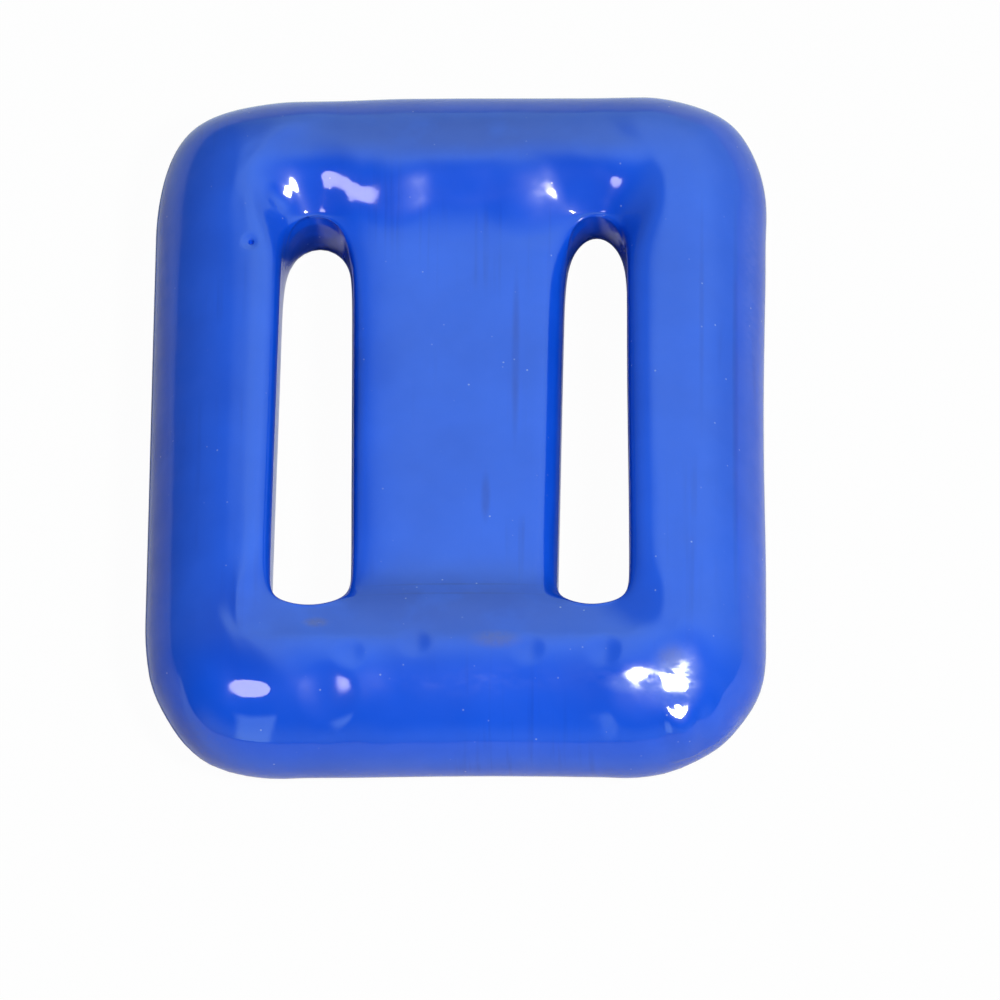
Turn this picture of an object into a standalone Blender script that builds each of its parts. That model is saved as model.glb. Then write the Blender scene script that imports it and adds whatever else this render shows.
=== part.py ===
"""Coated diving weight: a cast lead block inside a seamless skin of dip-moulded vinyl.

The weight lies on its back face, on the ground plane. Its width runs along X and its length along Y, and the sunken
bridge that a belt crosses looks along +Z. Two slots beside the bridge take the belt through the block.
"""

import math

import bmesh
import bpy
from mathutils import Matrix, Vector

MM = 0.001

# Outside of the coated block
WIDTH = 85.0 * MM
LENGTH = 105.0 * MM
THICKNESS = 22.0 * MM
TOP_LEFT_CORNER_RADIUS = 15.8 * MM  # corners of the outline, seen from the front with +Y at the top
TOP_RIGHT_CORNER_RADIUS = 13.4 * MM
BOTTOM_LEFT_CORNER_RADIUS = 16.8 * MM
BOTTOM_RIGHT_CORNER_RADIUS = 16.5 * MM
FRONT_EDGE_RADIUS = 13.0 * MM
BACK_EDGE_RADIUS = 8.8 * MM

# Bridge between the slots, and the recess that it is the floor of
BRIDGE_WIDTH = 29.0 * MM
BRIDGE_MARGIN = 3.0 * MM  # strip along each side of the bridge where its flat face gives way to the round edge
RECESS_DEPTH = 5.1 * MM
RECESS_FLOOR_LENGTH = 60.0 * MM  # between the feet of the two end slopes
RECESS_LENGTH = 74.4 * MM  # between the tops of the two end slopes
RECESS_FLARE = 1.6 * MM  # how much further out each corner of the recess reaches than its sides
BAR_SHOULDER_RADIUS = 3.4 * MM  # between the face of a side bar and its slot

# Belt slots
SLOT_LENGTH = 60.6 * MM
LEFT_SLOT_WIDTH = 10.1 * MM
RIGHT_SLOT_WIDTH = 8.8 * MM
SLOT_CORNER_RADIUS = 3.5 * MM
SLOT_RIM_RADIUS = 2.0 * MM  # front rim, along the bridge and round both ends
SLOT_BACK_RADIUS = 5.0 * MM  # back rim, along the sides
SLOT_END_BACK_RADIUS = 9.0 * MM  # back rim, round both ends
SLOT_SPREAD = 1.5 * MM  # how much wider each slot is at its -Y end, half of it on each side

# Vinyl coat, and the casting in it
COAT_THICKNESS = 1.2 * MM
CASTING_CLEARANCE = 0.3 * MM
SHARPEST_EDGE = 0.4 * MM  # least radius on an edge of the casting
PINHOLE_X = -28.5 * MM
PINHOLE_Y = 23.8 * MM
PINHOLE_DIAMETER = 0.8 * MM
PINHOLE_DISH_DIAMETER = 3.0 * MM  # shallow dish that the coat sank into round the pinhole
PINHOLE_DISH_DEPTH = 0.35 * MM
PINHOLE_SIDES = 12
MERGE_DISTANCE = 0.001 * MM

# Finishes, with linear colours
VINYL_BLUE = (0.005, 0.07, 0.68, 1.0)
VINYL_ROUGHNESS = 0.12
LEAD_GREY = (0.30, 0.31, 0.33, 1.0)
LEAD_ROUGHNESS = 0.55

# A smoothed cage rounds a square corner of radius r well where its points stand this share of r away from the corner
ROUND_SHARE = 2 - math.sqrt(2)
# A corner point of a smoothed outline stands this share of the corner's radius out from the corner's centre, along
# both axes, so that the smoothed outline passes through the middle of the arc
CORNER_REACH = (3 * math.sqrt(2) - 1) / 4
# Smoothing draws the widest line of the outline in by this share of what its two neighbours stand back
DRAW_IN_SHARE = 1 / 46
SMOOTHING_LEVELS = 1

# Lines of the cage across the width, counted from the outline to the middle
EDGE, CREST, SHOULDER, BAR_WALL, SLOT_MIDDLE, BRIDGE_WALL, BRIDGE_FLAT, CENTRE_COLUMN = range(8)
# Lines of the cage along the length: EDGE, CREST and SHOULDER as above, and then these
SLOT_END, SLOT_SIDE, CENTRE_ROW = range(3, 6)
# Levels of the cage, from the back face to the front face
BACK, LOWER, UPPER, FRONT = range(4)


class Skin:
    """The sizes of one quarter of one surface of the block, which lies a given depth under the outside of the coat.

    The quarter is named by the signs of its X and Y.
    """

    def __init__(self, depth, side, end):
        slot_width = LEFT_SLOT_WIDTH if side < 0 else RIGHT_SLOT_WIDTH
        if end < 0:
            corner = BOTTOM_LEFT_CORNER_RADIUS if side < 0 else BOTTOM_RIGHT_CORNER_RADIUS
        else:
            corner = TOP_LEFT_CORNER_RADIUS if side < 0 else TOP_RIGHT_CORNER_RADIUS
        self.half_width = WIDTH / 2 - depth
        self.half_length = LENGTH / 2 - depth
        self.corner = corner - depth
        self.back_z = depth
        self.front_z = THICKNESS - depth
        self.front_edge = FRONT_EDGE_RADIUS - depth
        self.back_edge = BACK_EDGE_RADIUS - depth

        self.bridge_wall = BRIDGE_WIDTH / 2 - depth
        self.bridge_flat = BRIDGE_WIDTH / 2 - BRIDGE_MARGIN
        self.bar_wall = BRIDGE_WIDTH / 2 + slot_width + depth
        self.slot_middle = (BRIDGE_WIDTH + slot_width) / 2
        self.slot_end = SLOT_LENGTH / 2 + depth
        self.slot_corner = SLOT_CORNER_RADIUS + depth
        self.rim = max(SLOT_RIM_RADIUS - depth, SHARPEST_EDGE)
        self.slot_back = max(SLOT_BACK_RADIUS - depth, SHARPEST_EDGE)
        self.slot_end_back = max(SLOT_END_BACK_RADIUS - depth, SHARPEST_EDGE)
        self.shoulder = max(BAR_SHOULDER_RADIUS - depth, SHARPEST_EDGE)

        slope_run = (RECESS_LENGTH - RECESS_FLOOR_LENGTH) / 2
        slope_shift = depth * math.tan(math.atan2(RECESS_DEPTH, slope_run) / 2)
        self.floor_z = self.front_z - RECESS_DEPTH
        self.slope_foot = RECESS_FLOOR_LENGTH / 2 + slope_shift
        self.slope_top = RECESS_LENGTH / 2 + slope_shift

        # The cage stands out by as much as smoothing draws in
        self.outline_push = DRAW_IN_SHARE * ROUND_SHARE * (self.front_edge + self.back_edge)

    def recess_z(self, y):
        """Height of the recess between the side bars, at a distance from the middle of the length."""
        share = (y - self.slope_foot) / (self.slope_top - self.slope_foot)
        return self.floor_z + RECESS_DEPTH * min(max(share, 0), 1)

    def edge_radius(self, level):
        return self.front_edge if level >= UPPER else self.back_edge

    def column_x(self, level, column):
        """Distance of a cage line from the middle of the width."""
        on_front = level >= UPPER
        return {
            CREST: self.half_width - self.edge_radius(level),
            SHOULDER: self.bar_wall + (ROUND_SHARE * self.shoulder if on_front else self.slot_back),
            BAR_WALL: self.bar_wall,
            SLOT_MIDDLE: self.slot_middle,
            BRIDGE_WALL: self.bridge_wall,
            BRIDGE_FLAT: self.bridge_flat if on_front else self.bridge_wall - self.slot_back,
            CENTRE_COLUMN: 0,
        }[column]

    def row_y(self, level, row):
        """Distance of a cage line from the middle of the length."""
        return {
            CREST: self.half_length - self.edge_radius(level),
            SHOULDER: self.slope_top if level >= UPPER else self.slot_end + self.slot_end_back,
            SLOT_END: self.slot_end,
            SLOT_SIDE: self.slot_end - self.slot_corner,
            CENTRE_ROW: 0,
        }[row]


def outline_point(skin, level, column, row):
    """Where the cage meets the outline: straight sides, with round corners between them."""
    inward = -skin.outline_push
    if level in (BACK, FRONT):
        inward = ROUND_SHARE * skin.edge_radius(level)
    straight_x = skin.half_width - skin.corner
    straight_y = skin.half_length - skin.corner
    reach = CORNER_REACH * (skin.corner - inward)
    if column == EDGE and row == EDGE:
        return straight_x + reach, straight_y + reach
    if column == EDGE:
        fan = straight_y / skin.row_y(level, CREST)
        return skin.half_width - inward, fan * skin.row_y(level, row)
    fan = straight_x / skin.column_x(level, CREST)
    return fan * skin.column_x(level, column), skin.half_length - inward


def slot_point(skin, level, column, row):
    """Where the cage meets a slot: its walls, and the rims that stand back from them."""
    across = along = 0
    if level == BACK:
        across = ROUND_SHARE * skin.slot_back
        along = ROUND_SHARE * skin.slot_end_back
    elif level == FRONT:
        across = along = ROUND_SHARE * skin.rim
    if column == SLOT_MIDDLE:
        drawn_in = (1 - CORNER_REACH) * skin.slot_corner
        return skin.slot_middle, skin.slot_end + along + drawn_in / 2
    outward = 1 if column == BAR_WALL else -1
    wall = skin.column_x(level, column)
    if row == SLOT_END:
        x = wall + outward * (CORNER_REACH * (skin.slot_corner + across) - skin.slot_corner)
        y = skin.slot_end - skin.slot_corner + CORNER_REACH * (skin.slot_corner + along)
        return x, y
    if level == FRONT and column == BAR_WALL:
        across = 0
    return wall + outward * across, skin.row_y(level, row)


def face_point(skin, level, column, row):
    """A point inside the front or the back face."""
    if column == CREST and row == CREST:
        reach = CORNER_REACH * (skin.corner - skin.edge_radius(level))
        return skin.half_width - skin.corner + reach, skin.half_length - skin.corner + reach
    x = skin.column_x(level, column)
    y = skin.row_y(level, row)
    if level == FRONT:
        if column == SHOULDER and row in (SHOULDER, SLOT_END):
            x += RECESS_FLARE
        if column >= BRIDGE_FLAT and row == SLOT_END:
            y = skin.slope_foot
    return x, y


def is_slot_point(column, row):
    return column in (BAR_WALL, SLOT_MIDDLE, BRIDGE_WALL) and row >= SLOT_END


def height(skin, level, column, row, y):
    """Height of a cage point above the ground."""
    on_slot = is_slot_point(column, row)
    if level == BACK:
        return skin.back_z
    if level == LOWER:
        if not on_slot:
            return skin.back_z + ROUND_SHARE * skin.back_edge
        rounding = skin.slot_back
        if row == SLOT_END:
            rounding = skin.slot_end_back if column == SLOT_MIDDLE else (skin.slot_back + skin.slot_end_back) / 2
        return skin.back_z + ROUND_SHARE * rounding
    if level == UPPER:
        return skin.recess_z(y) - ROUND_SHARE * skin.rim if on_slot else skin.front_z - ROUND_SHARE * skin.front_edge
    if column <= SHOULDER or row <= SHOULDER:
        return skin.front_z
    if column == BAR_WALL and row > SLOT_END:
        return skin.front_z - ROUND_SHARE * skin.shoulder
    return skin.recess_z(y)


def slot_lean(skin, column, row, y):
    """How far a slot's wall stands out here, because each slot is a little wider at its -Y end."""
    if row == EDGE:
        return 0
    share = -max(-skin.slot_end, min(y, skin.slot_end)) / SLOT_LENGTH
    outward = {SHOULDER: 1, BAR_WALL: 1, BRIDGE_WALL: -1, BRIDGE_FLAT: -1}.get(column, 0)
    return outward * share * SLOT_SPREAD / 2


def cage_position(depth, level, across, along):
    """Where a point of the cage stands, from its level and its place counted from the middle lines."""
    skin = Skin(depth, math.copysign(1, across), math.copysign(1, along))
    column = CENTRE_COLUMN - abs(across)
    row = CENTRE_ROW - abs(along)
    if column == EDGE or row == EDGE:
        x, y = outline_point(skin, level, column, row)
    elif is_slot_point(column, row):
        x, y = slot_point(skin, level, column, row)
    else:
        x, y = face_point(skin, level, column, row)
    z = height(skin, level, column, row, y)
    y = math.copysign(y, along)
    x += slot_lean(skin, column, row, y)
    return Vector((math.copysign(x, across), y, z))


def add_cage(bm, depth):
    """Adds the closed cage of one surface: a grid with two slots cut from it, extruded from the back to the front."""
    cage = bmesh.new()
    across = cage.verts.layers.int.new("across")
    along = cage.verts.layers.int.new("along")
    level = cage.verts.layers.int.new("level")
    columns = 2 * CENTRE_COLUMN
    rows = 2 * CENTRE_ROW
    bmesh.ops.create_grid(cage, x_segments=columns, y_segments=rows, size=0.5)
    for vert in cage.verts:
        vert[across] = round(vert.co.x * columns)
        vert[along] = round(vert.co.y * rows)

    def in_slot(face):
        places = [(CENTRE_COLUMN - abs(v[across]), CENTRE_ROW - abs(v[along])) for v in face.verts]
        return all(is_slot_point(*place) for place in places)

    bmesh.ops.delete(cage, geom=[face for face in cage.faces if in_slot(face)], context="FACES")
    top = cage.verts[:] + cage.edges[:] + cage.faces[:]
    for grown_level in (LOWER, UPPER, FRONT):
        top = bmesh.ops.extrude_face_region(cage, geom=top)["geom"]
        for vert in (item for item in top if isinstance(item, bmesh.types.BMVert)):
            vert[level] = grown_level

    for vert in cage.verts:
        vert.co = cage_position(depth, vert[level], vert[across], vert[along])
    bmesh.ops.recalc_face_normals(cage, faces=cage.faces)
    mesh = bpy.data.meshes.new("cage")
    cage.to_mesh(mesh)
    cage.free()
    bm.from_mesh(mesh)
    bpy.data.meshes.remove(mesh)


def material(name, colour, roughness, metallic=0.0):
    made = bpy.data.materials.new(name)
    made.use_nodes = True
    shader = made.node_tree.nodes["Principled BSDF"]
    shader.inputs["Base Color"].default_value = colour
    shader.inputs["Roughness"].default_value = roughness
    shader.inputs["Metallic"].default_value = metallic
    made.diffuse_color = colour
    return made


def place_object(name, bm, finish, parent, height_above_ground=0.0):
    """Makes the object from a bmesh that is drawn where it stands, with its origin at the given height."""
    bmesh.ops.translate(bm, verts=bm.verts, vec=(0, 0, -height_above_ground))
    mesh = bpy.data.meshes.new(name)
    bm.to_mesh(mesh)
    bm.free()
    mesh.shade_smooth()
    made = bpy.data.objects.new(name, mesh)
    bpy.context.scene.collection.objects.link(made)
    made.location.z = height_above_ground
    made.parent = parent
    if finish:
        mesh.materials.append(finish)
    return made


def smooth(piece):
    """Rounds the cage into the real surface."""
    rounding = piece.modifiers.new("Rounding", "SUBSURF")
    rounding.levels = SMOOTHING_LEVELS
    rounding.render_levels = SMOOTHING_LEVELS


def make_pinhole_cutter(parent):
    """A turned plug: a shallow dish, and the fine hole that goes on from it through the front wall of the coat."""
    hole = PINHOLE_DIAMETER / 2
    dish = PINHOLE_DISH_DIAMETER / 2
    slope = (dish - hole) / PINHOLE_DISH_DEPTH
    clear = PINHOLE_DISH_DEPTH  # the plug starts this far above the face
    bottom = THICKNESS - 2 * COAT_THICKNESS
    profile = [
        (0, THICKNESS + clear),
        (dish + slope * clear, THICKNESS + clear),
        (hole, THICKNESS - PINHOLE_DISH_DEPTH),
        (hole, bottom),
        (0, bottom),
    ]
    bm = bmesh.new()
    points = [bm.verts.new((radius, 0, z)) for radius, z in profile]
    edges = [bm.edges.new(pair) for pair in zip(points, points[1:])]
    bmesh.ops.spin(
        bm,
        geom=points + edges,
        cent=(0, 0, 0),
        axis=(0, 0, 1),
        angle=math.tau,
        steps=PINHOLE_SIDES,
        use_merge=True,
    )
    bmesh.ops.remove_doubles(bm, verts=bm.verts, dist=MERGE_DISTANCE)
    bmesh.ops.recalc_face_normals(bm, faces=bm.faces)
    bmesh.ops.transform(bm, matrix=Matrix.Translation((PINHOLE_X, PINHOLE_Y, 0)), verts=bm.verts)
    cutter = place_object("pinhole_cutter", bm, None, parent)
    cutter.hide_render = True
    cutter.display_type = "WIRE"
    return cutter


def make_vinyl_coating(parent):
    """The skin: its outside, and its inside turned to face the hollow that the casting fills."""
    bm = bmesh.new()
    add_cage(bm, COAT_THICKNESS)
    bmesh.ops.reverse_faces(bm, faces=bm.faces)
    add_cage(bm, 0)
    coat = place_object("vinyl_coating", bm, material("vinyl_blue", VINYL_BLUE, VINYL_ROUGHNESS), parent)
    smooth(coat)
    pinhole = coat.modifiers.new("Pinhole", "BOOLEAN")
    pinhole.operation = "DIFFERENCE"
    pinhole.solver = "EXACT"
    pinhole.object = make_pinhole_cutter(parent)
    return coat


def make_lead_core(parent):
    """The casting, a clearance inside the coat all over."""
    depth = COAT_THICKNESS + CASTING_CLEARANCE
    bm = bmesh.new()
    add_cage(bm, depth)
    finish = material("cast_lead", LEAD_GREY, LEAD_ROUGHNESS, metallic=1.0)
    core = place_object("lead_core", bm, finish, parent, height_above_ground=depth)
    smooth(core)
    return core


def main():
    for existing in list(bpy.data.objects):
        bpy.data.objects.remove(existing, do_unlink=True)
    weight = bpy.data.objects.new("diving_weight", None)
    bpy.context.scene.collection.objects.link(weight)
    make_lead_core(weight)
    make_vinyl_coating(weight)


main()
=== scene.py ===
"""Coated diving weight: a cast lead block in a seamless, glossy coat of dipped blue vinyl.

The weight lies on its back face, in a pale studio. Its width runs along X and its length along Y, and the
sunken bridge that a belt crosses looks along +Z. Both pieces grow from one cage of named sizes, each at its
own depth under the outside.
"""

import math

import bmesh
import bpy
from bpy.props import FloatProperty, FloatVectorProperty, PointerProperty
from mathutils import Matrix, Vector, noise


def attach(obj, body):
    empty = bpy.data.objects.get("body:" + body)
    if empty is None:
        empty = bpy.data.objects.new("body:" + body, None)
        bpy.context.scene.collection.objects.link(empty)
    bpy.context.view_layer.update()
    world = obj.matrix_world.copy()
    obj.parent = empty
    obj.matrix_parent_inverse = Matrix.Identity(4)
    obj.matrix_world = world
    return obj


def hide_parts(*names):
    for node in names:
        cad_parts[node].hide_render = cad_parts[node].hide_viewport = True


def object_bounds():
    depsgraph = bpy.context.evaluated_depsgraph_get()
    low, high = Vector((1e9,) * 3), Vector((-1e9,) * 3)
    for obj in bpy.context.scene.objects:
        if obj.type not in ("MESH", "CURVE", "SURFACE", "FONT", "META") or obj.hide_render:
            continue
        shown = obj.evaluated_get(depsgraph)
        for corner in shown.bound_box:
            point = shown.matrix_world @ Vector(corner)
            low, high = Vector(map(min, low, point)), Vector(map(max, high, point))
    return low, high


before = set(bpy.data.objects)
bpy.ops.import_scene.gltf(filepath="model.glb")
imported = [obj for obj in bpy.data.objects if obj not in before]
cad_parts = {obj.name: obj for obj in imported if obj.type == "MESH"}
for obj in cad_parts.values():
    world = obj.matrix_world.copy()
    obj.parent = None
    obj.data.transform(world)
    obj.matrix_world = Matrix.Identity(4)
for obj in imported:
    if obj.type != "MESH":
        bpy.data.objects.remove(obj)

bl_info = {
    "name": "Coated diving weight",
    "version": (1, 0, 0),
    "blender": (4, 5, 0),
    "location": "3D view > Sidebar > Diving weight",
    "description": "Builds a vinyl-coated lead diving weight and the studio that it is shown in",
    "category": "Add Mesh",
}

MM = 0.001
CAD_LOW, CAD_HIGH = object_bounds()
CAD_SIZE = CAD_HIGH - CAD_LOW

# A smoothed cage rounds an edge of radius r well where its points stand this share of r from the edge
ROUND_SHARE = 2 - math.sqrt(2)
# A corner point of the outline stands this share of the corner's radius out from its centre along both
# axes, so that the smoothed outline passes through the middle of the arc
CORNER_REACH = (3 * math.sqrt(2) - 1) / 4
# Smoothing draws the widest line of the outline in by this share of what its two neighbours stand back
DRAW_IN_SHARE = 1 / 46
# Least width of the flat back between the rim round a slot's end and the outer edge
LEAST_BACK_STRIP = MM

# Lines of the cage across the width, counted from the outline to the middle
EDGE, CREST, SHOULDER, BAR_WALL, SLOT_MIDDLE, BRIDGE_WALL, BRIDGE_FLAT, CENTRE_COLUMN = range(8)
# Lines of the cage along the length: EDGE, CREST and SHOULDER as above, and then these
SLOT_END, SLOT_SIDE, RUN, CENTRE_ROW = range(3, 7)
# Levels of the cage, from the back face to the front face. The outline has no line at the level of the rims
BACK, LOWER, UPPER, RIM, FRONT = range(5)

# How often each surface is smoothed
CASTING_SMOOTHINGS, COAT_INSIDE_SMOOTHINGS, COAT_OUTSIDE_SMOOTHINGS = 3, 2, 4
# The mesh of the coat's back is thinned once below each of these heights
THIN_MESH_HEIGHTS = (9 * MM, 5 * MM)
# The mesh round the pinhole is finer, to so many times its reach, with so many cuts in each edge
FINE_MESH_REACH, FINE_MESH_CUTS = 3, 3
# How much the surface's normal points up or down where the waves are weakest, and where they are full
STEEP, FLAT = 0.35, 0.75
# The second, finer waves: how many times as fine and as high as the first
FINE_WAVES, FINE_WAVE_HEIGHT = 2.3, 0.5

# Patterns of the finishes, by their waves or cells per metre. Streaks and scratches have one for X, Y and Z
OXIDE, PITS, LEAD_GRAIN = 90.0, 260.0, 1400.0
BLUE_CLOUDS, STREAK_PATCHES, DUST_CELLS = 70.0, 55.0, 620.0
FILM_CLOUDS, SKIN_SWELLS, SKIN_GRAIN = 160.0, 260.0, 1500.0
STREAKS = (900.0, 22.0, 60.0)
SCRATCHES = (500.0, 900.0, 600.0)
SCRATCH_TURN = (0, 0, 0.6)
PIT_DEPTH = 0.08 * MM
LEAD_METALLIC, VINYL_IOR = 0.9, 1.5

# The floor is a disc with so many sides
FLOOR_SIDES = 64
# The camera is turned to +X, rises above the floor and is rolled. The picture shows the weight at so many
# pixels per metre, with its middle at these shares of the picture's width and height
CAMERA_TURN, CAMERA_RISE, CAMERA_ROLL = math.radians(3.166), math.radians(59.94), math.radians(-2.92)
CAMERA_DISTANCE = 1.68026
PIXELS_PER_METRE, PICTURE_PIXELS = 7272.9, 1000
MIDDLE_ACROSS, MIDDLE_UP = 0.45781, 0.57145
SENSOR_WIDTH, CAMERA_REACH = 36.0, 20


def mm(name, millimetres, description):
    return FloatProperty(
        name=name, description=description, default=millimetres * MM,
        min=0.0, precision=5, unit="LENGTH", subtype="DISTANCE"
    )


def share(name, value, description):
    return FloatProperty(
        name=name, description=description, default=value, min=0.0, max=1.0, subtype="FACTOR"
    )


def brightness(name, value, description):
    return FloatProperty(name=name, description=description, default=value, min=0.0)


def angle(name, degrees, description):
    return FloatProperty(
        name=name, description=description, default=math.radians(degrees), unit="ROTATION", subtype="ANGLE"
    )


def colour(name, value, description):
    return FloatVectorProperty(
        name=name, description=description, default=value, size=3, min=0.0, max=1.0, subtype="COLOR"
    )


class WeightBlockSizes(bpy.types.PropertyGroup):
    """The outside of the coated block."""

    width: mm("Width", CAD_SIZE.x / MM, "Across the two side bars")
    length: mm("Length", CAD_SIZE.y / MM, "Along the slots")
    thickness: mm("Thickness", CAD_SIZE.z / MM, "From the back face to the front face")
    top_left_corner: mm("Top left corner", 15.8, "Radius of the corner at -X and +Y")
    top_right_corner: mm("Top right corner", 13.4, "Radius of the corner at +X and +Y")
    bottom_left_corner: mm("Bottom left corner", 16.8, "Radius of the corner at -X and -Y")
    bottom_right_corner: mm("Bottom right corner", 16.5, "Radius of the corner at +X and -Y")
    front_edge: mm("Front edge", 13.0, "Radius between the front face and the sides")
    top_front_edge: mm("Top front edge", 12.4, "Radius between the front face and the side at +Y")
    back_edge: mm("Back edge", 8.8, "Radius between the back face and the sides")
    coat: mm("Coat", 1.2, "Thickness of the vinyl")
    clearance: mm("Clearance", 0.3, "Between the casting and the inside of the coat")
    sharpest_edge: mm("Sharpest edge", 0.4, "Least radius on an edge of the casting")


class WeightBridgeSizes(bpy.types.PropertyGroup):
    """The bridge, and the recess that it is the floor of."""

    left_side: mm("Left side", 14.8, "From the middle to the left slot")
    right_side: mm("Right side", 14.5, "From the middle to the right slot")
    left_margin: mm("Left margin", 7.5, "Strip along the bridge's -X side that isn't flat")
    right_margin: mm("Right margin", 5.0, "Strip along the bridge's +X side that isn't flat")
    left_rim: mm("Left rim", 3.2, "Radius between the bridge and the left slot")
    right_rim: mm("Right rim", 4.6, "Radius between the bridge and the right slot")
    left_fall: mm("Left fall", 0.35, "How much the bridge falls to the left slot")
    right_fall: mm("Right fall", 0.15, "How much the bridge falls to the right slot")
    depth: mm("Recess depth", 5.1, "How far the bridge lies under the front face")
    flare: mm("Recess flare", 2.5, "How much further the recess reaches at its corners")
    top_foot: mm("Top foot", 29.5, "From the middle to the foot of the slope at +Y")
    top_knee: mm("Top knee", 33.4, "From the middle to halfway up the slope at +Y")
    top_knee_rise: mm("Top knee rise", 2.6, "Height of that place over the bridge")
    top_crest: mm("Top crest", 36.9, "From the middle to the top of the slope at +Y")
    bottom_foot: mm("Bottom foot", 26.0, "From the middle to the foot of the slope at -Y")
    bottom_knee: mm("Bottom knee", 31.7, "From the middle to where the slope at -Y turns gentle")
    bottom_knee_rise: mm("Bottom knee rise", 3.3, "Height of that place over the bridge")
    bottom_crest: mm("Bottom crest", 37.2, "From the middle to the top of the slope at -Y")


class WeightBarSizes(bpy.types.PropertyGroup):
    """The bars round the recess."""

    shoulder: mm("Shoulder", 3.4, "Radius between a side bar's face and its slot")
    top_fall: mm("Top fall", 2.0, "How much the bar at +Y falls to its outer edge")
    top_fall_middle: mm("Top fall, middle", 0.9, "How much of that where its outer edge starts")
    top_ridge: mm("Top edge", 41.0, "From the middle to where its outer edge starts")
    left_fall: mm("Left fall", 0.9, "How much the bar at -X falls to its outer edge")
    bottom_rise: mm("Bottom rise", 1.0, "How much the bar at -Y still rises past the recess")
    bottom_ridge: mm("Bottom ridge", 39.0, "From the middle to the highest line of the bar at -Y")
    bottom_fall: mm("Bottom fall", 1.3, "How much it falls from there to its outer edge")


class WeightSlotSizes(bpy.types.PropertyGroup):
    """The two belt slots."""

    length: mm("Slot length", 60.6, "Length of both slots")
    left_width: mm("Left slot", 9.8, "Width of the slot at -X")
    right_width: mm("Right slot", 8.8, "Width of the slot at +X")
    top_arch: mm("Top arch", 6.4, "Length of the round end at +Y")
    top_roundness: share("Top roundness", 0.94, "Share of the width that this end takes")
    bottom_corner: mm("Bottom corners", 3.2, "Radius of the corners at -Y")
    end_rim: mm("End rim", 0.7, "Radius of the front rim round both ends")
    rim_crease: share("Rim crease", 0.45, "How crisply the walls turn into the end rims")
    ledge: mm("Ledge", 0.4, "Width of the ledge round the end rims")
    ledge_drop: mm("Ledge drop", 0.1, "How far its outer side lies under the rim")
    ledge_crease: share("Ledge crease", 0.5, "How crisply the ledge turns into the slope")
    top_rise: mm("Top rise", 0.2, "Height of the rim at +Y over the bridge")
    bottom_rise: mm("Bottom rise", 2.8, "Height of the rim at -Y over the bridge")
    top_bar_rise: mm("Top bar rise", 0.2, "How much higher the rim at +Y is next to a bar")
    bottom_bar_rise: mm("Bottom bar rise", 0.4, "How much higher the rim at -Y is next to a bar")
    bottom_reach: mm("Bottom reach", 1.9, "How far the rim at -Y reaches past the slot")
    back: mm("Back", 5.0, "Radius of the back rim along the sides")
    left_end_back: mm("Left end back", 11.0, "Radius of the back rim round the left slot's ends")
    right_end_back: mm("Right end back", 16.0, "Radius of the back rim round the right slot's ends")
    spread: mm("Spread", 1.5, "How much wider each slot is at its -Y end")


class WeightStudio(bpy.types.PropertyGroup):
    """The floor, the room's light, the lamps and the camera."""

    floor_radius: mm("Floor radius", 6000.0, "Of the round floor")
    floor_gap: mm("Floor gap", 0.2, "Between the floor and the weight's back face")
    floor_colour: colour("Floor", (0.62, 0.62, 0.62), "Colour of the floor")
    floor_whiteness: share("Floor whiteness", 0.975, "How much of the floor shows as plain white")
    near_whiteness: share("Near whiteness", 1.0, "Of the mirrored floor before the weight")
    near_reach: mm("Near reach", 500.0, "How far before the weight the mirrored floor is white")
    far_whiteness: share("Far whiteness", 0.32, "Of the mirrored floor behind the weight")
    right_whiteness: share("Right whiteness", 0.6, "Of the mirrored floor right of the weight")
    white_start: mm("White start", 50.0, "Along Y, from the middle to where it starts")
    white_end: mm("White end", 66.0, "Along Y, from the middle to where it is full")
    right_start: mm("Right start", 54.0, "Along X, from the middle to where it starts")
    right_end: mm("Right end", 88.0, "Along X, from the middle to where it is full")
    mirrored_colour: colour("Mirrored floor", (0.8, 1.0, 1.0), "Colour of the floor in reflections")
    room_colour: colour("Room", (0.64, 1.0, 0.97), "Colour of the room's light")
    room_fill: share("Room fill", 0.18, "Share of the room's light on matt surfaces")
    far_wall: brightness("Far wall", 1.9, "Light from behind the weight")
    near_wall: brightness("Near wall", 0.2, "Light from the camera's side")
    near_band: brightness("Near band", 0.6, "Light from the horizon on the camera's side")
    window: brightness("Window", 1.8, "Light of a window on the camera's side")
    left_wall: share("Left wall", 0.3, "Light from the left, against that from the middle")
    low_wall: share("Low wall", 0.5, "Light from the horizon, against that from above")
    lamp_distance: mm("Lamp distance", 1000.0, "From the weight to both lamps")
    left_lamp_turn: angle("Left lamp turn", -35.5, "From the camera's side to +X")
    left_lamp_rise: angle("Left lamp rise", 52.0, "Above the floor")
    left_lamp_size: mm("Left lamp size", 200.0, "Across its face")
    left_lamp_glow: brightness("Left lamp glow", 14.0, "Brightness of its face")
    left_lamp_colour: colour("Left lamp", (0.78, 0.72, 1.0), "Colour of its light")
    right_lamp_turn: angle("Right lamp turn", 39.5, "From the camera's side to +X")
    right_lamp_rise: angle("Right lamp rise", 57.0, "Above the floor")
    right_lamp_size: mm("Right lamp size", 160.0, "Across its face")
    right_lamp_glow: brightness("Right lamp glow", 128.0, "Brightness of its face")
    right_lamp_colour: colour("Right lamp", (1.0, 1.0, 0.96), "Colour of its light")


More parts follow.
